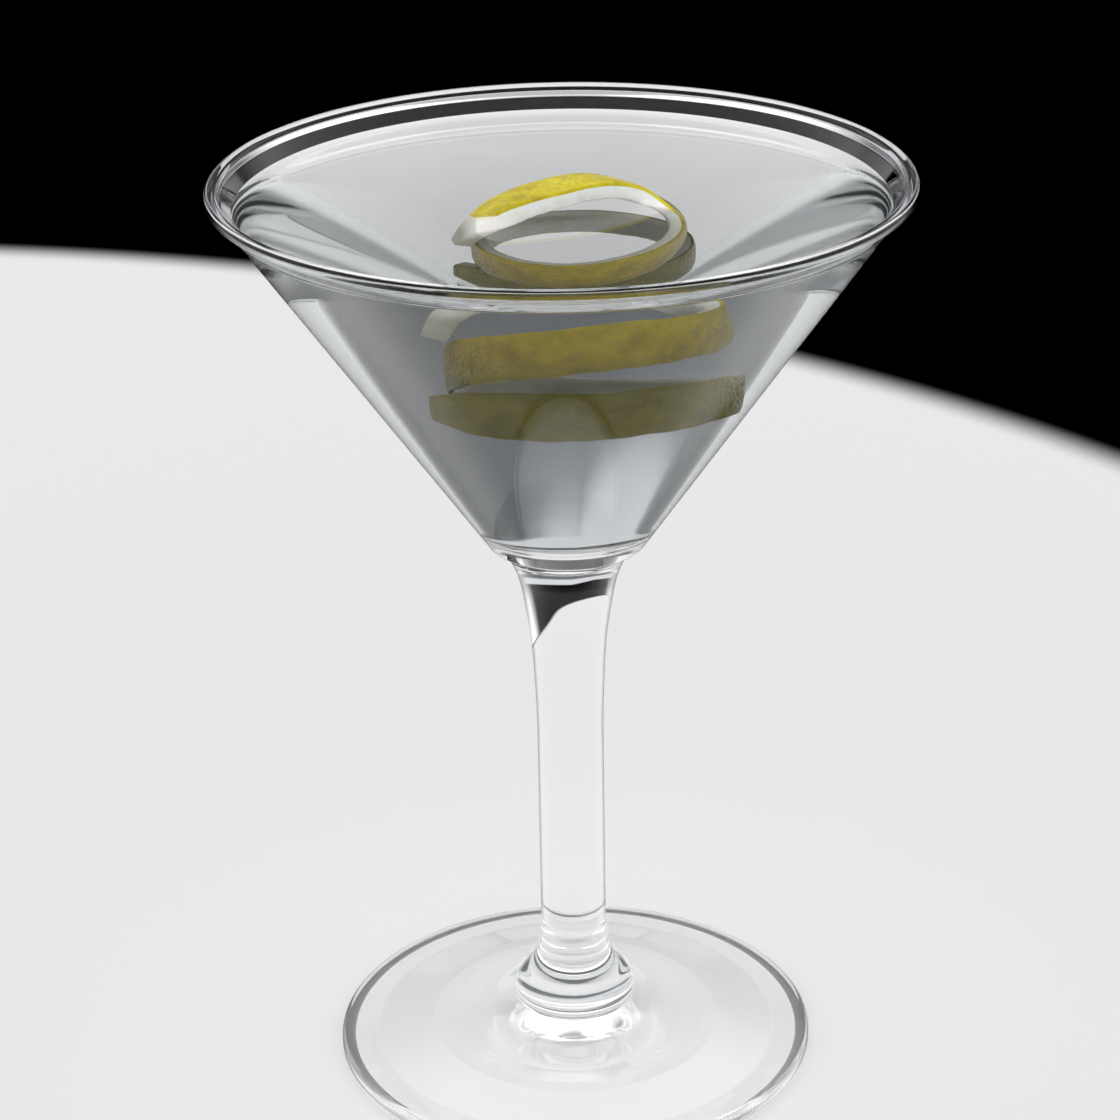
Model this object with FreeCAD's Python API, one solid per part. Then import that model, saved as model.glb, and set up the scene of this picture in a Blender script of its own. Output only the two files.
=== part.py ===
"""Stemmed cocktail glass, with its drink and its lemon twist.

The glass is a cone-shaped bowl, a solid stem and a round foot, fused end to end. The drink fills
the bowl to just under the lip, and a coiled strip of lemon peel lies in it, with one bend out of it.

Millimetres. +Z is up, and the origin is the middle of the ring that the foot stands on.
"""

import FreeCAD, Part
import math
import os

from FreeCAD import Vector

# Driving dimensions
GLASS_HEIGHT = 153.0
RIM_RADIUS = 55.0
FOOT_RADIUS = 40.0
STEM_RADIUS = 5.45
CONE_HALF_ANGLE = 34.8          # degrees between the bowl's wall and its axis

# Bowl
BOWL_BASE_HEIGHT = 91.6         # the face where the bowl is fused to the stem
BOWL_BASE_RADIUS = 11.3
CONE_START_HEIGHT = 93.2        # where the outside of the cone begins
CONE_START_RADIUS = 13.2
WALL_THICKNESS = 1.0
FLOOR_HEIGHT = 94.8             # the inside of the bowl at its lowest
FLOOR_CORNER = 8.0              # radius between the floor and the wall
LIP_WIDTH = 2.2
LIP_DEPTH = 1.5                 # the upright part of the thickened lip
LIP_UNDERSIDE = 0.8             # the sloping part below it

# Foot
FOOT_TOP_HEIGHT = 8.4           # the face where the stem is fused to the foot
FOOT_EDGE_HEIGHT = 2.5
BUTTON_RADIUS = 10.0            # the flared end of the stem
REST_RING_OUTER = 37.5
REST_RING_INNER = 33.5
HOLLOW_HEIGHT = 2.4             # how far the underside is dished

# Drink
DRINK_HEIGHT = 148.7            # the surface of the drink
DRINK_GAP = 0.15                # between the drink and what it touches

# Lemon twist
PEEL_WIDTH = 9.2
PEEL_WIDENING = 0.16            # how much wider it gets towards its far end, as a share
ZEST_THICKNESS = 0.8
ZEST_START = 0.045              # the yellow layer stops short of the first end, as a share of the length
PITH_THICKNESS = 2.0
PITH_EXTRA = 1.1                # how much thicker the white layer is at the first end
PITH_FADE = 0.3                 # share of the length over which that thickness is lost
PEEL_END_WIDTH = 0.55           # width at the cut ends, as a share of the full width
PEEL_TAPER = 0.06               # length of each tapering end, as a share of the whole length
PEEL_SECTIONS = 64

# The route of the peel, where its yellow layer meets the white one, measured from the middle of the
# drink's surface, and the way that the yellow face looks. It starts at the left, bends over above
# the drink, comes forward on the right just under the surface, and then coils down.
PEEL_ROUTE = [
    ((-16.6, -13.0, -5.6), (-0.92, 0.00, 0.38)),
    ((-14.0, -10.6, -0.9), (-0.68, 0.00, 0.74)),
    ((-8.6, -6.4, 2.0), (-0.28, 0.02, 0.96)),
    ((-0.4, -1.6, 3.1), (0.00, 0.08, 1.00)),
    ((6.4, 1.8, 2.8), (0.20, 0.20, 0.96)),
    ((12.4, 2.8, 0.4), (0.48, 0.36, 0.80)),
    ((16.6, -0.4, -3.1), (0.80, 0.36, 0.48)),
    ((18.2, -6.8, -5.6), (0.96, 0.18, 0.10)),
    ((16.8, -14.8, -6.8), (0.98, -0.16, -0.06)),
    ((12.2, -22.4, -7.2), (0.72, -0.70, 0.00)),
    ((4.0, -27.2, -7.8), (0.15, -0.98, 0.05)),
    ((-5.0, -24.8, -9.2), (-0.45, -0.88, 0.05)),
    ((-11.6, -16.4, -11.0), (-0.90, -0.42, 0.00)),
    ((-13.0, -5.6, -13.8), (-0.98, 0.10, 0.00)),
    ((-7.6, 5.6, -17.4), (-0.64, 0.77, 0.00)),
    ((2.8, 10.8, -20.0), (0.00, 1.00, 0.00)),
    ((13.0, 8.8, -21.4), (0.66, 0.75, 0.00)),
    ((19.2, 1.0, -22.0), (1.00, 0.10, 0.00)),
    ((18.4, -9.0, -22.0), (0.86, -0.51, 0.00)),
    ((11.0, -16.2, -22.0), (0.45, -0.89, 0.00)),
    ((1.2, -18.6, -22.0), (0.00, -1.00, 0.00)),
    ((-8.8, -16.2, -22.0), (-0.46, -0.89, 0.00)),
    ((-16.2, -10.0, -22.0), (-0.74, -0.67, 0.00)),
]

CONE_SLOPE = math.tan(math.radians(CONE_HALF_ANGLE))
WALL_ACROSS = WALL_THICKNESS / math.cos(math.radians(CONE_HALF_ANGLE))


def outside_radius(height):
    """Radius of the outside of the cone at a height."""
    return CONE_START_RADIUS + (height - CONE_START_HEIGHT) * CONE_SLOPE


def inside_radius(height):
    """Radius of the inside of the cone at a height."""
    return outside_radius(height) - WALL_ACROSS


def inside_height(radius):
    """Height at which the inside of the cone has a radius."""
    return CONE_START_HEIGHT + (radius + WALL_ACROSS - CONE_START_RADIUS) / CONE_SLOPE


def point(radius, height):
    return Vector(radius, 0.0, height)


def rounded_edges(corners):
    """Lines through (radius, height, rounding) corners, with an arc at each rounded one."""
    edges = []
    last = point(corners[0][0], corners[0][1])
    for before, corner, after in zip(corners, corners[1:], corners[2:]):
        middle = point(corner[0], corner[1])
        back = (point(before[0], before[1]) - middle).normalize()
        ahead = (point(after[0], after[1]) - middle).normalize()
        rounding = corner[2]
        if rounding > 0.0:
            half_angle = back.getAngle(ahead) / 2.0
            start = middle + back * (rounding / math.tan(half_angle))
            end = middle + ahead * (rounding / math.tan(half_angle))
            bisector = (back + ahead).normalize()
            on_arc = middle + bisector * (rounding / math.sin(half_angle) - rounding)
            edges.append(Part.LineSegment(last, start).toShape())
            edges.append(Part.Arc(start, on_arc, end).toShape())
            last = end
        else:
            edges.append(Part.LineSegment(last, middle).toShape())
            last = middle
    final = point(corners[-1][0], corners[-1][1])
    edges.append(Part.LineSegment(last, final).toShape())
    return edges


def smooth_edge(outline, start_direction, end_direction):
    """One smooth curve through (radius, height) points, with its direction set at both ends."""
    curve = Part.BSplineCurve()
    curve.interpolate(
        Points=[point(radius, height) for radius, height in outline],
        InitialTangent=point(*start_direction),
        FinalTangent=point(*end_direction),
    )
    return curve.toShape()


def turned(edges):
    """Solid of revolution about Z from the edges of a closed half outline."""
    face = Part.Face(Part.Wire(edges))
    return face.revolve(Vector(0, 0, 0), Vector(0, 0, 1), 360.0)


def make_bowl():
    """Cone with a thickened lip, a rounded base and a small dished floor."""
    lip_bottom = GLASS_HEIGHT - LIP_DEPTH
    cone_end = lip_bottom - LIP_UNDERSIDE
    lip_inside = RIM_RADIUS - LIP_WIDTH
    edges = rounded_edges([
        (0.0, BOWL_BASE_HEIGHT, 0.0),
        (BOWL_BASE_RADIUS, BOWL_BASE_HEIGHT, 0.0),
        (CONE_START_RADIUS - 0.5, CONE_START_HEIGHT - 1.0, 1.2),
        (outside_radius(cone_end), cone_end, 1.0),
        (RIM_RADIUS, lip_bottom, 0.8),
        (RIM_RADIUS, GLASS_HEIGHT, 0.8),
        (lip_inside, GLASS_HEIGHT, 0.8),
        (lip_inside, inside_height(lip_inside), 0.5),
        (inside_radius(FLOOR_HEIGHT), FLOOR_HEIGHT, FLOOR_CORNER),
        (0.0, FLOOR_HEIGHT, 0.0),
        (0.0, BOWL_BASE_HEIGHT, 0.0),
    ])
    return turned(edges)


def make_stem():
    """Solid stem: a flared button on the foot, a plain shaft, and a flared head under the bowl."""
    button = [
        (BUTTON_RADIUS, FOOT_TOP_HEIGHT),
        (BUTTON_RADIUS + 0.1, 10.2),
        (9.3, 12.6),
        (7.4, 14.9),
        (6.0, 18.0),
        (STEM_RADIUS, 24.0),
    ]
    head = [
        (STEM_RADIUS, 58.0),
        (5.75, 68.0),
        (6.3, 76.0),
        (7.2, 82.0),
        (8.5, 87.4),
        (BOWL_BASE_RADIUS, BOWL_BASE_HEIGHT),
    ]
    edges = [
        Part.LineSegment(point(0.0, FOOT_TOP_HEIGHT), point(*button[0])).toShape(),
        smooth_edge(button, (0.3, 1.0), (0.0, 1.0)),
        Part.LineSegment(point(*button[-1]), point(*head[0])).toShape(),
        smooth_edge(head, (0.0, 1.0), (1.0, 0.8)),
        Part.LineSegment(point(*head[-1]), point(0.0, BOWL_BASE_HEIGHT)).toShape(),
        Part.LineSegment(point(0.0, BOWL_BASE_HEIGHT), point(0.0, FOOT_TOP_HEIGHT)).toShape(),
    ]
    return turned(edges)


def make_foot():
    """Round foot with a sloping top, a rounded edge, a flat ring to stand on and a dished middle."""
    edges = rounded_edges([
        (0.0, FOOT_TOP_HEIGHT, 0.0),
        (BUTTON_RADIUS, FOOT_TOP_HEIGHT, 0.0),
        (14.5, 6.6, 12.0),
        (FOOT_RADIUS, FOOT_EDGE_HEIGHT, 1.2),
        (FOOT_RADIUS, 0.0, 0.9),
        (REST_RING_OUTER, 0.0, 0.0),
        (REST_RING_INNER, 0.0, 4.0),
        (24.0, HOLLOW_HEIGHT * 0.75, 30.0),
        (0.0, HOLLOW_HEIGHT, 0.0),
        (0.0, FOOT_TOP_HEIGHT, 0.0),
    ])
    return turned(edges)


def route_curves():
    """The middle line of the peel and the way its yellow face looks, as curves in step."""
    places = [Vector(*place) for place, _ in PEEL_ROUTE]
    facings = [Vector(*facing).normalize() for _, facing in PEEL_ROUTE]
    distances = [0.0]
    for place, following in zip(places, places[1:]):
        distances.append(distances[-1] + place.distanceToPoint(following))
    middle_line = Part.BSplineCurve()
    middle_line.interpolate(Points=places, Parameters=distances)
    facing_line = Part.BSplineCurve()
    facing_line.interpolate(Points=facings, Parameters=distances)
    return middle_line, facing_line, distances[-1]


def half_width(share):
    """Half the width of the strip at a share of its length."""
    from_end = min(1.0, min(share, 1.0 - share) / PEEL_TAPER)
    narrowing = (1.0 - PEEL_END_WIDTH) * (1.0 - from_end) ** 2
    return PEEL_WIDTH / 2.0 * (1.0 + PEEL_WIDENING * share) * (1.0 - narrowing)


def pith_thickness(share):
    """Thickness of the white layer at a share of the strip's length."""
    return PITH_THICKNESS + PITH_EXTRA * max(0.0, 1.0 - share / PITH_FADE) ** 2


def peel_section(share, zest, pith, spare):
    """Outline across the strip at a share of its length, round its yellow layer, white layer or both."""
    middle_line, facing_line, length = route_curves()
    along = Vector(*middle_line.tangent(share * length)[0])
    across = along.cross(facing_line.value(share * length)).normalize()
    outward = across.cross(along).normalize()
    middle = Vector(0.0, 0.0, DRINK_HEIGHT) + middle_line.value(share * length)
    if share == 0.0:
        middle = middle - along * spare
    if share == 1.0:
        middle = middle + along * spare
    reach = half_width(share) + spare
    outer = (ZEST_THICKNESS if zest else 0.0) + spare
    inner = -(pith_thickness(share) if pith else 0.0) - spare
    corners = [
        middle + across * sideways + outward * depth
        for sideways, depth in ((-reach, inner), (reach, inner), (reach, outer), (-reach, outer))
    ]
    return Part.makePolygon(corners + corners[:1])


def peel_solid(start=0.0, zest=False, pith=False, spare=0.0):
    """Solid along the strip, from a share of its length to its far end."""
    shares = [start + (1.0 - start) * index / PEEL_SECTIONS for index in range(PEEL_SECTIONS + 1)]
    return Part.makeLoft([peel_section(share, zest, pith, spare) for share in shares], True, False)


def make_zest():
    """The yellow outer layer of the strip."""
    return peel_solid(start=ZEST_START, zest=True)


def make_pith():
    """The white inner layer of the strip."""
    return peel_solid(pith=True)


def make_drink():
    """The drink, clear of the glass and of the twist by a small gap."""
    across_gap = DRINK_GAP / math.cos(math.radians(CONE_HALF_ANGLE))
    floor = FLOOR_HEIGHT + DRINK_GAP
    edges = rounded_edges([
        (0.0, DRINK_HEIGHT, 0.0),
        (inside_radius(DRINK_HEIGHT) - across_gap, DRINK_HEIGHT, 0.0),
        (inside_radius(floor) - across_gap, floor, FLOOR_CORNER - DRINK_GAP),
        (0.0, floor, 0.0),
        (0.0, DRINK_HEIGHT, 0.0),
    ])
    return turned(edges).cut(peel_solid(zest=True, pith=True, spare=DRINK_GAP)).Solids[0]


NODES = {
    "bowl": make_bowl,
    "stem": make_stem,
    "foot": make_foot,
    "drink": make_drink,
    "lemon_zest": make_zest,
    "lemon_pith": make_pith,
}

os.makedirs("parts", exist_ok=True)
for name, make in NODES.items():
    shape = make()
    shape.exportStep(f"parts/{name}.step")
    print(name, shape.ShapeType, "valid", shape.isValid(), "solids", len(shape.Solids),
          "volume", round(shape.Volume, 1), "box", shape.BoundBox)
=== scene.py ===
"""Looks of a stemmed cocktail glass with its drink and its lemon twist.

The fused glass is three turned meshes, the drink is one, and the twist is a coiled strip of peel in
two layers. Light goes on where glass is fused to glass, because those faces bend none of it and stay a
little apart. The drink reaches a little into the wall that it wets, so no air is left between them.
"""

import math

import bpy
import numpy as np
from mathutils import Matrix, Vector


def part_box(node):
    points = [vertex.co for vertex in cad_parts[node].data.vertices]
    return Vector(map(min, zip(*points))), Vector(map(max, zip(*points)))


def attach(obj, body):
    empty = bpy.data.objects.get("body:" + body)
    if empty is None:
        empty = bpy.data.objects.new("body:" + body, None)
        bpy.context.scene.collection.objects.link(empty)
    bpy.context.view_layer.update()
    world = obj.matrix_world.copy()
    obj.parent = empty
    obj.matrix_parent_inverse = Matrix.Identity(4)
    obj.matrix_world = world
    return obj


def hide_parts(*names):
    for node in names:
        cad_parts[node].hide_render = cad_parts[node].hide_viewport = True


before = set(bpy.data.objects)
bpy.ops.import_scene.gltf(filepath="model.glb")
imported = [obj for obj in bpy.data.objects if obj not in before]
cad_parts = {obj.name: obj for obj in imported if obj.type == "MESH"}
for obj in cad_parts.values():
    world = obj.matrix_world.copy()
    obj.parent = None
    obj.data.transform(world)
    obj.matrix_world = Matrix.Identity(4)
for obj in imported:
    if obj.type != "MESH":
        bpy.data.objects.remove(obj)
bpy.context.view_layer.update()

MM = 0.001

# Sizes that come from the frame
BOWL_LOW, BOWL_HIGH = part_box("bowl")
FOOT_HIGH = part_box("foot")[1]
DRINK_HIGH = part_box("drink")[1]
RIM_RADIUS = BOWL_HIGH.x
RIM_HEIGHT = BOWL_HIGH.z
BOWL_BASE_HEIGHT = BOWL_LOW.z
FOOT_RADIUS = FOOT_HIGH.x
FOOT_TOP_HEIGHT = FOOT_HIGH.z
DRINK_HEIGHT = DRINK_HIGH.z

# Bowl
CONE_HALF_ANGLE = math.radians(34.8)
BOWL_BASE_RADIUS = 11.3 * MM
CONE_START_HEIGHT = 93.2 * MM
CONE_START_RADIUS = 13.2 * MM
WALL_THICKNESS = 1.0 * MM
FLOOR_HEIGHT = 94.8 * MM
FLOOR_CORNER = 8.0 * MM
LIP_WIDTH = 2.2 * MM
LIP_DEPTH = 1.5 * MM
LIP_UNDERSIDE = 0.8 * MM

# Stem and foot
STEM_RADIUS = 5.45 * MM
BUTTON_RADIUS = 10.0 * MM
FOOT_EDGE_HEIGHT = 2.5 * MM
REST_RING_OUTER = 37.5 * MM
REST_RING_INNER = 33.5 * MM
HOLLOW_HEIGHT = 2.4 * MM

# Drink
MENISCUS_HEIGHT = 0.6 * MM          # how far the drink climbs the glass
MENISCUS_REACH = 0.9 * MM           # how quickly it falls off away from the glass
MENISCUS_STEPS_MM = (0.0, 0.1, 0.2, 0.35, 0.5, 0.75, 1.0, 1.4, 1.8, 2.4, 3.2, 4.2, 5.5, 7.5, 10.0)
FLAT_RADII_MM = (36.0, 28.0, 20.0, 12.0, 5.0, 0.0)
WETTING = 0.02 * MM                 # how far the drink reaches into the face that it wets

# How the glass and the drink pass light
GLASS_IOR = 1.5
DRINK_IOR = 1.36
FUSED_IOR = 1.0                     # glass against glass bends no light
FUSED_GAP = 0.02 * MM               # between fused faces, which light can't pass if they coincide
DRY_MIRROR = 0.3                    # how much of real glass's straight-on reflection is kept
DRINK_TINT = (0.10, 0.13, 0.14)
DRINK_DENSITY = 6.5                 # per metre

# Lemon twist
PEEL_WIDTH = 9.2 * MM
PEEL_WIDENING = 0.16                # how much wider it gets towards its far end, as a share
ZEST_THICKNESS = 0.8 * MM
ZEST_START = 0.045                  # share of the length left bare of zest at the first end
PITH_THICKNESS = 2.0 * MM
PITH_EXTRA = 1.1 * MM               # how much thicker it is at the first end
PITH_FADE = 0.3                     # share of the length over which that is lost
PEEL_END_WIDTH = 0.55               # width of the cut ends, as a share of the full width
PEEL_TAPER = 0.06                   # share of the length that each end tapers over
PEEL_SEED = 7
PEEL_STEPS = 840                    # sections along the strip
SKIN_COLUMNS = 44                   # points across the yellow skin
BACK_STRIDE = 4                     # its flat back keeps one in this many of those points
FACE_COLUMNS = 12                   # points across the flat face of the pith
INNER_COLUMNS = 26                  # points across the uneven face of the pith
PEEL_CROWN = 0.3 * MM               # how much lower the yellow skin is at its edges
EDGE_WAVER = 0.5 * MM               # how unevenly the edges were cut
EDGE_WAVES = (23.0 * MM, 31.0 * MM)
WAVE_SHARES = (1.0, 0.62, 0.41, 0.23)
PITH_WAVER = 0.35 * MM              # how uneven the inner face is
PITH_WAVES = (9.0 * MM, 5.0 * MM)
PITH_SLANTS = (1.7, -1.3)           # how the waves of the inner face slant across the strip
PITH_CORNER = 0.5 * MM              # how much thinner the pith is at its edges
PITH_NARROWING = 0.07               # and how much narrower its inner face is, as a share
PORE_SPACING = 1.0 * MM
PORE_RADIUS = 0.3 * MM
PORE_DEPTH = 0.2 * MM
PAINTED_SHADE_DEPTH = 27.0 * MM            # how far the peel hangs below the surface of the drink, over which its painted shade deepens
PEEL_ROUTE_MM = [
    ((-16.6, -13.0, -5.6), (-0.92, 0.00, 0.38)),
    ((-14.0, -10.6, -0.9), (-0.68, 0.00, 0.74)),
    ((-8.6, -6.4, 2.0), (-0.28, 0.02, 0.96)),
    ((-0.4, -1.6, 3.1), (0.00, 0.08, 1.00)),
    ((6.4, 1.8, 2.8), (0.20, 0.20, 0.96)),
    ((12.4, 2.8, 0.4), (0.48, 0.36, 0.80)),
    ((16.6, -0.4, -3.1), (0.80, 0.36, 0.48)),
    ((18.2, -6.8, -5.6), (0.96, 0.18, 0.10)),
    ((16.8, -14.8, -6.8), (0.98, -0.16, -0.06)),
    ((12.2, -22.4, -7.2), (0.72, -0.70, 0.00)),
    ((4.0, -27.2, -7.8), (0.15, -0.98, 0.05)),
    ((-5.0, -24.8, -9.2), (-0.45, -0.88, 0.05)),
    ((-11.6, -16.4, -11.0), (-0.90, -0.42, 0.00)),
    ((-13.0, -5.6, -13.8), (-0.98, 0.10, 0.00)),
    ((-7.6, 5.6, -17.4), (-0.64, 0.77, 0.00)),
    ((2.8, 10.8, -20.0), (0.00, 1.00, 0.00)),
    ((13.0, 8.8, -21.4), (0.66, 0.75, 0.00)),
    ((19.2, 1.0, -22.0), (1.00, 0.10, 0.00)),
    ((18.4, -9.0, -22.0), (0.86, -0.51, 0.00)),
    ((11.0, -16.2, -22.0), (0.45, -0.89, 0.00)),
    ((1.2, -18.6, -22.0), (0.00, -1.00, 0.00)),
    ((-8.8, -16.2, -22.0), (-0.46, -0.89, 0.00)),
    ((-16.2, -10.0, -22.0), (-0.74, -0.67, 0.00)),
]

# Stage
TABLE_CENTRE = (-0.249, -0.040)
TABLE_RADIUS = 0.4935
TABLE_FADE = 0.016                  # width of the soft edge of the table
TABLE_STEPS = 180
BACKDROP_TILT = 0.055               # how much higher the backdrop's light reaches on its left
LIGHT_BOUNCES = 32                  # light runs along inside the foot for a long way

# Camera
CAMERA_PLACE = (-0.00124, -0.4908, 0.3023)
CAMERA_PITCH = math.radians(23.53)
CAMERA_ROLL = math.radians(1.006)
CAMERA_LENS = 106.4
CAMERA_SENSOR = 36.0

# Meshes
TURN_STEPS = 256                    # steps round a turned piece
ARC_STEP = math.radians(5.0)        # largest step along a rounded corner
END_RUN = 0.25 * MM                 # the short run at each end of a straight stretch
LONGEST_RUN = 5.0 * MM
SAME_POINT = 1e-7
SHARP_ANGLE = math.radians(38.0)    # edges that turn by more than this are drawn sharp

CONE_SLOPE = math.tan(CONE_HALF_ANGLE)
WALL_ACROSS = WALL_THICKNESS / math.cos(CONE_HALF_ANGLE)


# Materials

def new_material(name):
    """An empty procedural material, its node tree and its one Principled shader."""
    material = bpy.data.materials.new(name)
    material.use_nodes = True
    tree = material.node_tree
    tree.nodes.clear()
    shader = tree.nodes.new("ShaderNodeBsdfPrincipled")
    output = tree.nodes.new("ShaderNodeOutputMaterial")
    tree.links.new(shader.outputs["BSDF"], output.inputs["Surface"])
    return material, tree, shader


def set_values(node, values):
    for name, value in values.items():
        node.inputs[name].default_value = value


def object_coordinates(tree):
    return tree.nodes.new("ShaderNodeTexCoord").outputs["Object"]


def noise(tree, vector, scale, detail=3.0, roughness=0.5):
    node = tree.nodes.new("ShaderNodeTexNoise")
    set_values(node, {"Scale": scale, "Detail": detail, "Roughness": roughness})
    tree.links.new(vector, node.inputs["Vector"])
    return node.outputs["Fac"]


def ramp(tree, factor, stops):
    """Colours along a factor, from (place, (red, green, blue)) stops."""
    node = tree.nodes.new("ShaderNodeValToRGB")
    elements = node.color_ramp.elements
    while len(elements) < len(stops):
        elements.new(1.0)
    for element, (place, colour) in zip(elements, stops):
        element.position = place
        element.color = (*colour, 1.0)
    tree.links.new(factor, node.inputs["Fac"])
    return node.outputs["Color"]


def span(tree, value, low, high, to_low, to_high, smooth=False):
    """A value mapped from one range to another, and held at its ends."""
    node = tree.nodes.new("ShaderNodeMapRange")
    if smooth:
        node.interpolation_type = "SMOOTHSTEP"
    set_values(node, {"From Min": low, "From Max": high, "To Min": to_low, "To Max": to_high})
    tree.links.new(value, node.inputs["Value"])
    return node.outputs["Result"]


def bump(tree, height, strength, distance):
    node = tree.nodes.new("ShaderNodeBump")
    set_values(node, {"Strength": strength, "Distance": distance})
    tree.links.new(height, node.inputs["Height"])
    return node.outputs["Normal"]


def glass_material(name, ior, mirror=1.0):
    """Clear glass. The mirror value is how much it reflects where it is looked at straight on."""
    material, _, shader = new_material(name)
    set_values(shader, {
        "Base Color": (0.99, 0.995, 0.993, 1.0),
        "Transmission Weight": 1.0,
        "IOR": ior,
        "Roughness": 0.0,
        "Specular Tint": (mirror, mirror, mirror, 1.0),
    })
    return material


def drink_material():
    """A clear liquid, slightly clouded, so that it darkens with depth."""
    material, tree, shader = new_material("drink")
    set_values(shader, {
        "Base Color": (1.0, 1.0, 1.0, 1.0),
        "Transmission Weight": 1.0,
        "IOR": DRINK_IOR,
        "Roughness": 0.0,
    })
    absorption = tree.nodes.new("ShaderNodeVolumeAbsorption")
    set_values(absorption, {"Color": (*DRINK_TINT, 1.0), "Density": DRINK_DENSITY})
    tree.links.new(absorption.outputs["Volume"], tree.nodes["Material Output"].inputs["Volume"])
    return material


def painted_depth_shade(tree, place, colour, stops):
    """Painted shade: a colour darkened towards the deeper end of the peel, below the drink's surface, from
    (depth, factors) stops.
    """
    height = tree.nodes.new("ShaderNodeSeparateXYZ")
    tree.links.new(place, height.inputs["Vector"])
    lowest = DRINK_HEIGHT - PAINTED_SHADE_DEPTH
    along = span(tree, height.outputs["Z"], lowest, DRINK_HEIGHT, 0.0, 1.0)
    factors = ramp(tree, along, [(1.0 - depth / PAINTED_SHADE_DEPTH, values) for depth, values in stops])
    mix = tree.nodes.new("ShaderNodeMixRGB")
    mix.blend_type = "MULTIPLY"
    mix.inputs["Fac"].default_value = 1.0
    tree.links.new(colour, mix.inputs["Color1"])
    tree.links.new(factors, mix.inputs["Color2"])
    return mix.outputs["Color"]


def zest_material():
    """Waxy yellow skin, with painted shade that makes it darker and more olive deeper below the drink's
    surface.
    """
    material, tree, shader = new_material("lemon_zest")
    place = object_coordinates(tree)
    tone = noise(tree, place, 260.0, 5.0, 0.6)
    colour = ramp(tree, tone, [
        (0.3, (0.42, 0.33, 0.001)),
        (0.5, (0.60, 0.49, 0.002)),
        (0.7, (0.74, 0.63, 0.012)),
    ])
    # Painted shade: the skin is darkened and turned olive deeper below the surface of the drink.
    colour = painted_depth_shade(tree, place, colour, [
        (PAINTED_SHADE_DEPTH, (0.15, 0.16, 0.30)),
        (15.0 * MM, (0.18, 0.19, 0.40)),
        (9.0 * MM, (0.34, 0.31, 0.30)),
        (2.0 * MM, (0.46, 0.45, 0.80)),
        (0.0, (1.0, 1.0, 1.0)),
    ])
    tree.links.new(colour, shader.inputs["Base Color"])
    set_values(shader, {
        "Roughness": 0.34,
        "Specular IOR Level": 0.2,
        "Coat Weight": 0.35,
        "Coat Roughness": 0.08,
    })
    fine = noise(tree, place, 2600.0, 2.0)
    tree.links.new(bump(tree, fine, 0.35, 0.05 * MM), shader.inputs["Normal"])
    return material


def pith_material():
    """Soft white pith with a spongy surface, and painted shade that greys it deeper below the drink's
    surface.
    """
    material, tree, shader = new_material("lemon_pith")
    place = object_coordinates(tree)
    tone = noise(tree, place, 420.0, 5.0, 0.6)
    colour = ramp(tree, tone, [
        (0.3, (0.86, 0.85, 0.78)),
        (0.6, (0.96, 0.96, 0.94)),
    ])
    # Painted shade: the pith is darkened to grey deeper below the surface of the drink.
    colour = painted_depth_shade(tree, place, colour, [
        (PAINTED_SHADE_DEPTH, (0.20, 0.20, 0.15)),
        (12.0 * MM, (0.26, 0.26, 0.20)),
        (3.0 * MM, (0.42, 0.42, 0.35)),
        (0.0, (1.0, 1.0, 1.0)),
    ])
    tree.links.new(colour, shader.inputs["Base Color"])
    set_values(shader, {
        "Roughness": 0.45,
        "Coat Weight": 0.15,
        "Coat Roughness": 0.15,
        "Subsurface Weight": 0.25,
        "Subsurface Scale": 1.2 * MM,
    })
    spongy = noise(tree, place, 1500.0, 4.0)
    tree.links.new(bump(tree, spongy, 0.5, 0.12 * MM), shader.inputs["Normal"])
    return material


# Turned pieces

def rounded_outline(corners):
    """(radius, height) points through (radius, height, rounding) corners."""
    outline = [Vector(corners[0][:2])]
    for before, corner, after in zip(corners, corners[1:], corners[2:]):
        middle = Vector(corner[:2])
        back = (Vector(before[:2]) - middle).normalized()
        ahead = (Vector(after[:2]) - middle).normalized()
        rounding = corner[2]
        if rounding == 0.0:
            outline.append(middle)
            continue
        half_angle = back.angle(ahead) / 2.0
        centre = middle + (back + ahead).normalized() * (rounding / math.sin(half_angle))
        start = middle + back * (rounding / math.tan(half_angle)) - centre
        sweep = start.angle_signed(middle + ahead * (rounding / math.tan(half_angle)) - centre)
        steps = max(2, math.ceil(abs(sweep) / ARC_STEP))
        for step in range(steps + 1):
            outline.append(centre + Matrix.Rotation(-sweep * step / steps, 2) @ start)
    outline.append(Vector(corners[-1][:2]))
    return [(point.x, point.y) for point in outline]


def even_runs(outline):
    """The outline with points added on its long straight runs, the first ones close to each end.

    They keep the smooth shading of a corner from spreading along the straight run beside it.
    """
    spread = [outline[0]]
    for start, end in zip(outline, outline[1:]):
        length = math.dist(start, end)
        if length > 4.0 * END_RUN:
            count = math.ceil((length - 2.0 * END_RUN) / LONGEST_RUN)
            stops = [END_RUN + (length - 2.0 * END_RUN) * step / count for step in range(count + 1)]
            for stop in stops:
                share = stop / length
                spread.append(tuple(a + (b - a) * share for a, b in zip(start, end)))
        spread.append(end)
    return spread


def smooth_outline(points, start_direction, end_direction, steps):
    """(radius, height) points of a clamped cubic spline, with its direction set at both ends."""
    points = np.array(points)
    lengths = np.r_[0.0, np.cumsum(np.hypot(*np.diff(points, axis=0).T))]
    ends = [np.array(d) / np.hypot(*d) for d in (start_direction, end_direction)]
    slopes = spline_slopes(lengths, points, ends)
    at = np.linspace(0.0, lengths[-1], steps + 1)
    return [tuple(point) for point in spline_points(lengths, points, slopes, at)[0]]


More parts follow.
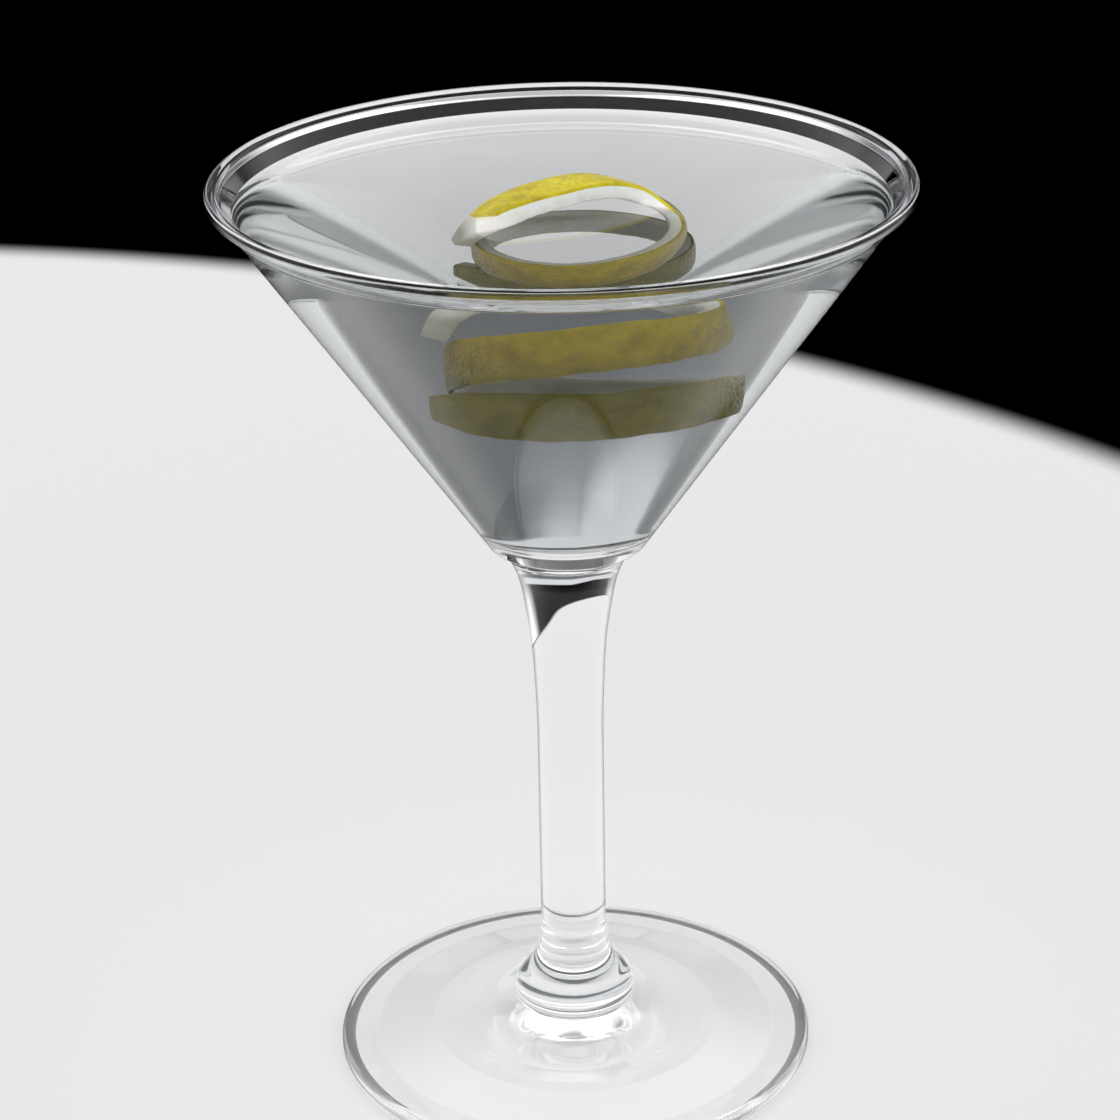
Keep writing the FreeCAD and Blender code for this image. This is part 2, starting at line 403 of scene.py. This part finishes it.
def spline_slopes(lengths, points, ends=None):
    """Slopes at the points of a smooth cubic spline, whose ends are free unless they are given."""
    count = len(points)
    gaps = np.diff(lengths)
    matrix = np.zeros((count, count))
    right = np.zeros_like(points)
    for i in range(1, count - 1):
        matrix[i, i - 1:i + 2] = (gaps[i], 2.0 * (gaps[i - 1] + gaps[i]), gaps[i - 1])
        before = (points[i] - points[i - 1]) / gaps[i - 1]
        after = (points[i + 1] - points[i]) / gaps[i]
        right[i] = 3.0 * (gaps[i] * before + gaps[i - 1] * after)
    for row, near, first, second in ((0, 1, 0, 1), (count - 1, count - 2, count - 2, count - 1)):
        matrix[row, row] = 1.0
        if ends is None:
            matrix[row, near] = 0.5
            right[row] = 1.5 * (points[second] - points[first]) / (lengths[second] - lengths[first])
        else:
            right[row] = ends[0 if row == 0 else 1]
    return np.linalg.solve(matrix, right)


def spline_points(lengths, points, slopes, at):
    """Points and directions on a cubic spline."""
    index = np.clip(np.searchsorted(lengths, at, side="right") - 1, 0, len(lengths) - 2)
    gap = (lengths[index + 1] - lengths[index])[:, None]
    t = (at - lengths[index])[:, None] / gap
    p0, p1 = points[index], points[index + 1]
    m0, m1 = slopes[index] * gap, slopes[index + 1] * gap
    place = ((2 * t**3 - 3 * t**2 + 1) * p0 + (t**3 - 2 * t**2 + t) * m0
             + (3 * t**2 - 2 * t**3) * p1 + (t**3 - t**2) * m1)
    slope = ((6 * t**2 - 6 * t) * (p0 - p1) + (3 * t**2 - 4 * t + 1) * m0
             + (3 * t**2 - 2 * t) * m1) / gap
    return place, slope


def new_mesh_object(name, vertices, faces, materials, face_materials):
    """A mesh object in the scene, smooth apart from its sharp edges."""
    mesh = bpy.data.meshes.new(name)
    mesh.from_pydata(vertices, [], faces)
    for material in materials:
        mesh.materials.append(material)
    mesh.polygons.foreach_set("material_index", face_materials)
    mesh.shade_smooth()
    mesh.set_sharp_from_angle(angle=SHARP_ANGLE)
    mesh.update()
    piece = bpy.data.objects.new(name, mesh)
    bpy.context.scene.collection.objects.link(piece)
    return piece


def turned(name, stretches, materials):
    """A closed mesh of revolution from stretches of outline that follow on from each other.

    A stretch is (points, material number). The outline goes from the axis round to the axis, with
    the material on its left as it is drawn with the radius to the right and the height upwards.
    """
    outline = []
    ring_materials = []
    for points, number in stretches:
        runs = even_runs(points)
        for start, end in zip(runs, runs[1:]):
            if math.dist(start, end) < SAME_POINT:
                continue
            if not outline:
                outline.append(start)
            outline.append(end)
            ring_materials.append(number)
    angles = [2.0 * math.pi * step / TURN_STEPS for step in range(TURN_STEPS)]
    vertices = [(0.0, 0.0, outline[0][1])]
    for radius, height in outline[1:-1]:
        vertices += [(radius * math.cos(a), radius * math.sin(a), height) for a in angles]
    vertices.append((0.0, 0.0, outline[-1][1]))
    last = len(vertices) - 1
    faces = []
    face_materials = []
    for ring, number in enumerate(ring_materials):
        below = 1 + (ring - 1) * TURN_STEPS
        above = 1 + ring * TURN_STEPS
        for step in range(TURN_STEPS):
            following = (step + 1) % TURN_STEPS
            if ring == 0:
                faces.append((0, above + following, above + step))
            elif ring == len(ring_materials) - 1:
                faces.append((below + step, below + following, last))
            else:
                faces.append((below + step, below + following, above + following, above + step))
            face_materials.append(number)
    return new_mesh_object(name, vertices, faces, materials, face_materials)


def outside_radius(height):
    return CONE_START_RADIUS + (height - CONE_START_HEIGHT) * CONE_SLOPE


def inside_radius(height):
    return outside_radius(height) - WALL_ACROSS


def inside_height(radius):
    return CONE_START_HEIGHT + (radius + WALL_ACROSS - CONE_START_RADIUS) / CONE_SLOPE


def make_bowl(dry, wet, fused):
    lip_bottom = RIM_HEIGHT - LIP_DEPTH
    cone_end = lip_bottom - LIP_UNDERSIDE
    lip_inside = RIM_RADIUS - LIP_WIDTH
    waterline = DRINK_HEIGHT + MENISCUS_HEIGHT
    base = [(0.0, BOWL_BASE_HEIGHT), (BOWL_BASE_RADIUS, BOWL_BASE_HEIGHT)]
    outside = rounded_outline([
        (BOWL_BASE_RADIUS, BOWL_BASE_HEIGHT, 0.0),
        (CONE_START_RADIUS - 0.5 * MM, CONE_START_HEIGHT - 1.0 * MM, 1.2 * MM),
        (outside_radius(cone_end), cone_end, 1.0 * MM),
        (RIM_RADIUS, lip_bottom, 0.8 * MM),
        (RIM_RADIUS, RIM_HEIGHT, 0.8 * MM),
        (lip_inside, RIM_HEIGHT, 0.8 * MM),
        (lip_inside, inside_height(lip_inside), 0.5 * MM),
        (inside_radius(waterline), waterline, 0.0),
    ])
    inside = rounded_outline([
        (inside_radius(waterline), waterline, 0.0),
        (inside_radius(FLOOR_HEIGHT), FLOOR_HEIGHT, FLOOR_CORNER),
        (0.0, FLOOR_HEIGHT, 0.0),
    ])
    piece = turned("glass_bowl", [(base, 2), (outside, 0), (inside, 1)], [dry, wet, fused])
    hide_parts("bowl")
    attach(piece, "glass")


def make_stem(dry, fused):
    lowest = FOOT_TOP_HEIGHT + FUSED_GAP
    highest = BOWL_BASE_HEIGHT - FUSED_GAP
    button = smooth_outline([
        (BUTTON_RADIUS, lowest),
        (BUTTON_RADIUS + 0.1 * MM, 10.2 * MM),
        (9.3 * MM, 12.6 * MM),
        (7.4 * MM, 14.9 * MM),
        (6.0 * MM, 18.0 * MM),
        (STEM_RADIUS, 24.0 * MM),
    ], (0.3, 1.0), (0.0, 1.0), 48)
    head = smooth_outline([
        (STEM_RADIUS, 58.0 * MM),
        (5.75 * MM, 68.0 * MM),
        (6.3 * MM, 76.0 * MM),
        (7.2 * MM, 82.0 * MM),
        (8.5 * MM, 87.4 * MM),
        (BOWL_BASE_RADIUS, highest),
    ], (0.0, 1.0), (1.0, 0.8), 48)
    low_face = [(0.0, lowest), button[0]]
    high_face = [head[-1], (0.0, highest)]
    piece = turned("glass_stem", [(low_face, 1), (button + head, 0), (high_face, 1)], [dry, fused])
    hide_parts("stem")
    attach(piece, "glass")


def make_foot(dry, fused):
    outside = rounded_outline([
        (0.0, HOLLOW_HEIGHT, 0.0),
        (24.0 * MM, HOLLOW_HEIGHT * 0.75, 30.0 * MM),
        (REST_RING_INNER, 0.0, 4.0 * MM),
        (REST_RING_OUTER, 0.0, 0.0),
        (FOOT_RADIUS, 0.0, 0.9 * MM),
        (FOOT_RADIUS, FOOT_EDGE_HEIGHT, 1.2 * MM),
        (14.5 * MM, 6.6 * MM, 12.0 * MM),
        (BUTTON_RADIUS, FOOT_TOP_HEIGHT, 0.0),
    ])
    top = [(BUTTON_RADIUS, FOOT_TOP_HEIGHT), (0.0, FOOT_TOP_HEIGHT)]
    piece = turned("glass_foot", [(outside, 0), (top, 1)], [dry, fused])
    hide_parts("foot")
    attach(piece, "glass")


def make_drink(material):
    """The drink, a little way into the wall that it wets, with its surface curved up at the glass."""
    waterline = DRINK_HEIGHT + MENISCUS_HEIGHT
    body = rounded_outline([
        (0.0, FLOOR_HEIGHT - WETTING, 0.0),
        (inside_radius(FLOOR_HEIGHT) + WETTING, FLOOR_HEIGHT - WETTING, FLOOR_CORNER),
        (inside_radius(waterline) + WETTING, waterline, 0.0),
    ])
    top_radius = inside_radius(waterline) + WETTING
    meniscus = []
    for from_glass in MENISCUS_STEPS_MM:
        climb = MENISCUS_HEIGHT * math.exp(-from_glass * MM / MENISCUS_REACH)
        meniscus.append((top_radius - from_glass * MM, DRINK_HEIGHT + climb))
    flat = [(radius * MM, DRINK_HEIGHT) for radius in FLAT_RADII_MM]
    piece = turned("drink_body", [(body + meniscus + flat, 0)], [material])
    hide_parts("drink")
    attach(piece, "drink")


# Lemon twist

def route_frames(count, start=0.0):
    """Places, and the across and outward directions, at even steps along the peel."""
    places = np.array([place for place, _ in PEEL_ROUTE_MM]) * MM
    facings = np.array([facing for _, facing in PEEL_ROUTE_MM])
    facings /= np.linalg.norm(facings, axis=1)[:, None]
    lengths = np.r_[0.0, np.cumsum(np.linalg.norm(np.diff(places, axis=0), axis=1))]
    shares = np.linspace(start, 1.0, count)
    at = shares * lengths[-1]
    middle, along = spline_points(lengths, places, spline_slopes(lengths, places), at)
    facing, _ = spline_points(lengths, facings, spline_slopes(lengths, facings), at)
    along /= np.linalg.norm(along, axis=1)[:, None]
    across = np.cross(along, facing)
    across /= np.linalg.norm(across, axis=1)[:, None]
    outward = np.cross(across, along)
    middle = middle + np.array([0.0, 0.0, DRINK_HEIGHT])
    return shares, lengths[-1], middle, across, outward


def half_width(shares):
    from_end = np.minimum(1.0, np.minimum(shares, 1.0 - shares) / PEEL_TAPER)
    narrowing = (1.0 - PEEL_END_WIDTH) * (1.0 - from_end) ** 2
    return PEEL_WIDTH / 2.0 * (1.0 + PEEL_WIDENING * shares) * (1.0 - narrowing)


def pith_thickness(shares):
    return PITH_THICKNESS + PITH_EXTRA * np.maximum(0.0, 1.0 - shares / PITH_FADE) ** 2


def loft(name, rows, material):
    """A closed mesh through rings of points, with a flat fan at each end."""
    count, around = rows.shape[:2]
    vertices = rows.reshape(-1, 3)
    ends = [rows[0].mean(axis=0), rows[-1].mean(axis=0)]
    vertices = np.vstack([vertices, ends])
    faces = []
    for row in range(count - 1):
        for side in range(around):
            following = (side + 1) % around
            here, there = row * around, (row + 1) * around
            faces.append((here + side, here + following, there + following, there + side))
    for side in range(around):
        following = (side + 1) % around
        last = (count - 1) * around
        faces.append((count * around, following, side))
        faces.append((count * around + 1, last + side, last + following))
    return new_mesh_object(name, vertices.tolist(), faces, [material], [0] * len(faces))


def waver(random, at, wavelength):
    """A smooth uneven line between 0 and 1, from a few waves with random phases."""
    total = np.zeros_like(at)
    for share in WAVE_SHARES:
        total += np.sin(2.0 * math.pi * (at / (wavelength * share) + random.random()))
    return 0.5 + total / (2.0 * len(WAVE_SHARES))


def pore_depths(random, at, sideways):
    """How deep the pores of the skin are at places along and across the strip."""
    from_edge = sideways - sideways.min()
    cells = (int(at.max() / PORE_SPACING) + 4, int(np.ptp(sideways) / PORE_SPACING) + 4)
    shifts = random.random((*cells, 2))
    row = np.floor(at / PORE_SPACING).astype(int)
    column = np.floor(from_edge / PORE_SPACING).astype(int)
    depth = np.zeros_like(at)
    for next_row, next_column in np.ndindex(3, 3):
        centre = shifts[row + next_row, column + next_column]
        along = (row + next_row - 1 + centre[..., 0]) * PORE_SPACING - at
        across = (column + next_column - 1 + centre[..., 1]) * PORE_SPACING - from_edge
        distance = (along ** 2 + across ** 2) / PORE_RADIUS ** 2
        depth = np.maximum(depth, PORE_DEPTH * np.exp(-distance))
    return depth


def cut_edges(random, shares, length):
    """How far the strip reaches to each side of its middle line, with unevenly cut edges."""
    at = shares * length
    reach = half_width(shares)
    left, right = (reach - EDGE_WAVER * waver(random, at, wave) for wave in EDGE_WAVES)
    return left[:, None], right[:, None]


def sides(share, left, right):
    """Distances sideways from the middle line, from shares of the reach to the left and right."""
    return np.where(share < 0.0, share * left, share * right)


def strip_rows(middle, across, outward, sideways, depth):
    """Rings of points round the strip, from distances sideways and outwards from its middle line."""
    return middle[:, None] + across[:, None] * sideways[..., None] + outward[:, None] * depth[..., None]


def make_zest(material):
    random = np.random.default_rng(PEEL_SEED)
    shares, length, middle, across, outward = route_frames(PEEL_STEPS, ZEST_START)
    left, right = cut_edges(random, shares, length)
    side = np.linspace(-1.0, 1.0, SKIN_COLUMNS)[None, :]
    skin = sides(side, left, right)
    at = shares[:, None] * length * np.ones_like(skin)
    pores = pore_depths(random, at, skin) * (1.0 - side ** 8)
    crown = ZEST_THICKNESS - PEEL_CROWN * side ** 4 - pores
    back = skin[:, ::-BACK_STRIDE]
    sideways = np.hstack([skin, back])
    depth = np.hstack([crown, np.zeros_like(back)])
    piece = loft("zest", strip_rows(middle, across, outward, sideways, depth), material)
    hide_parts("lemon_zest")
    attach(piece, "twist")


def make_pith(material):
    random = np.random.default_rng(PEEL_SEED)
    shares, length, middle, across, outward = route_frames(PEEL_STEPS)
    left, right = cut_edges(random, shares, length)
    face = sides(np.linspace(-1.0, 1.0, FACE_COLUMNS)[None, :], left, right)
    side = np.linspace(1.0, -1.0, INNER_COLUMNS)[None, :]
    inner = sides(side, left, right) * (1.0 - PITH_NARROWING * side ** 8)
    uneven = np.ones_like(inner)
    for wave, slant in zip(PITH_WAVES, PITH_SLANTS):
        uneven *= waver(random, shares[:, None] * length + slant * inner, wave)
    thickness = pith_thickness(shares)[:, None] - PITH_WAVER * uneven - PITH_CORNER * side ** 8
    sideways = np.hstack([face, inner])
    depth = np.hstack([np.zeros_like(face), -thickness])
    piece = loft("pith", strip_rows(middle, across, outward, sideways, depth), material)
    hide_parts("lemon_pith")
    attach(piece, "twist")


# Stage, light and camera

def make_table():
    """A round pale table whose edge fades out softly."""
    material, tree, shader = new_material("table_top")
    length = tree.nodes.new("ShaderNodeVectorMath")
    length.operation = "LENGTH"
    tree.links.new(object_coordinates(tree), length.inputs[0])
    fade = span(tree, length.outputs["Value"], TABLE_RADIUS - TABLE_FADE, TABLE_RADIUS, 0.0, 1.0, True)
    colour = ramp(tree, fade, [(0.0, (0.74, 0.74, 0.745)), (1.0, (0.0, 0.0, 0.0))])
    tree.links.new(colour, shader.inputs["Base Color"])
    set_values(shader, {"Roughness": 0.6, "Specular IOR Level": 0.0})
    turns = [2.0 * math.pi * step / TABLE_STEPS for step in range(TABLE_STEPS)]
    points = [(0.0, 0.0, 0.0)]
    points += [(TABLE_RADIUS * math.cos(a), TABLE_RADIUS * math.sin(a), 0.0) for a in turns]
    faces = [(0, 1 + step, 1 + (step + 1) % TABLE_STEPS) for step in range(TABLE_STEPS)]
    table = new_mesh_object("table", points, faces, [material], [0] * len(faces))
    table.location = (*TABLE_CENTRE, 0.0)
    table.visible_glossy = False


def rise(degrees):
    """Where an elevation lies in a ramp that runs from straight down to straight up."""
    return 0.5 + 0.5 * math.sin(math.radians(degrees))


def turn(degrees):
    """Where a heading lies in a ramp that runs all round from behind the camera, with +Y in its middle."""
    return 0.5 + degrees / 360.0


def grey(level):
    return (level, level, level)


def calculate(tree, operation, first, second):
    """A Math node on a socket and either a socket or a number."""
    node = tree.nodes.new("ShaderNodeMath")
    node.operation = operation
    tree.links.new(first, node.inputs[0])
    if isinstance(second, float):
        node.inputs[1].default_value = second
    else:
        tree.links.new(second, node.inputs[1])
    return node.outputs["Value"]


def make_world():
    """A pale room with a ring of light high up, and a black backdrop behind the table."""
    world = bpy.data.worlds.new("studio")
    bpy.context.scene.world = world
    world.use_nodes = True
    tree = world.node_tree
    tree.nodes.clear()
    background = tree.nodes.new("ShaderNodeBackground")
    output = tree.nodes.new("ShaderNodeOutputWorld")
    tree.links.new(background.outputs["Background"], output.inputs["Surface"])
    direction = tree.nodes.new("ShaderNodeSeparateXYZ")
    tree.links.new(tree.nodes.new("ShaderNodeTexCoord").outputs["Generated"], direction.inputs["Vector"])
    height = span(tree, direction.outputs["Z"], -1.0, 1.0, 0.0, 1.0)
    to_left = span(tree, direction.outputs["X"], -0.35, -0.05, BACKDROP_TILT, 0.0)
    backdrop = ramp(tree, calculate(tree, "SUBTRACT", height, to_left), [
        (rise(-0.5), grey(0.0)),
        (rise(0.5), (0.70, 0.71, 0.74)),
        (rise(9.3), (0.70, 0.71, 0.74)),
        (rise(10.4), (0.25, 0.27, 0.30)),
        (rise(11.6), (0.14, 0.15, 0.16)),
        (rise(28.0), grey(0.12)),
        (rise(42.0), grey(1.7)),
        (rise(58.0), grey(1.7)),
        (rise(66.0), grey(0.5)),
    ])
    room = ramp(tree, height, [
        (rise(-70.0), grey(0.0)),
        (rise(-50.0), grey(1.2)),
        (rise(-14.0), grey(1.4)),
        (rise(-5.0), grey(0.72)),
        (rise(12.0), grey(0.72)),
        (rise(22.0), grey(1.4)),
        (rise(58.0), grey(1.5)),
        (rise(66.0), grey(0.5)),
    ])
    heading = calculate(tree, "ARCTAN2", direction.outputs["X"], direction.outputs["Y"])
    share = ramp(tree, span(tree, heading, -math.pi, math.pi, 0.0, 1.0), [
        (turn(-52.0), grey(1.0)),
        (turn(-38.0), grey(0.0)),
        (turn(36.0), grey(0.0)),
        (turn(52.0), grey(1.0)),
    ])
    light = tree.nodes.new("ShaderNodeMixRGB")
    tree.links.new(share, light.inputs["Fac"])
    tree.links.new(backdrop, light.inputs["Color1"])
    tree.links.new(room, light.inputs["Color2"])
    tree.links.new(light.outputs["Color"], background.inputs["Color"])


def make_camera():
    data = bpy.data.cameras.new("camera")
    data.lens = CAMERA_LENS
    data.sensor_width = CAMERA_SENSOR
    camera = bpy.data.objects.new("camera", data)
    bpy.context.scene.collection.objects.link(camera)
    forward = Vector((0.0, math.cos(CAMERA_PITCH), -math.sin(CAMERA_PITCH)))
    aim = forward.to_track_quat("-Z", "Y") @ Matrix.Rotation(-CAMERA_ROLL, 3, "Z").to_quaternion()
    camera.rotation_mode = "QUATERNION"
    camera.rotation_quaternion = aim
    camera.location = CAMERA_PLACE
    bpy.context.scene.camera = camera


DRY_GLASS = glass_material("clear_glass", GLASS_IOR, mirror=DRY_MIRROR)
WET_GLASS = glass_material("wet_glass", GLASS_IOR, mirror=0.0)
FUSED_GLASS = glass_material("fused_glass", FUSED_IOR)

make_bowl(DRY_GLASS, WET_GLASS, FUSED_GLASS)
make_stem(DRY_GLASS, FUSED_GLASS)
make_foot(DRY_GLASS, FUSED_GLASS)
make_drink(drink_material())
make_zest(zest_material())
make_pith(pith_material())
make_table()
make_world()
make_camera()

bpy.context.scene.view_settings.view_transform = "Standard"
bpy.context.scene.cycles.max_bounces = LIGHT_BOUNCES
bpy.context.scene.cycles.transmission_bounces = LIGHT_BOUNCES
bpy.context.scene.cycles.glossy_bounces = LIGHT_BOUNCES
bpy.context.scene.cycles.blur_glossy = 0.0
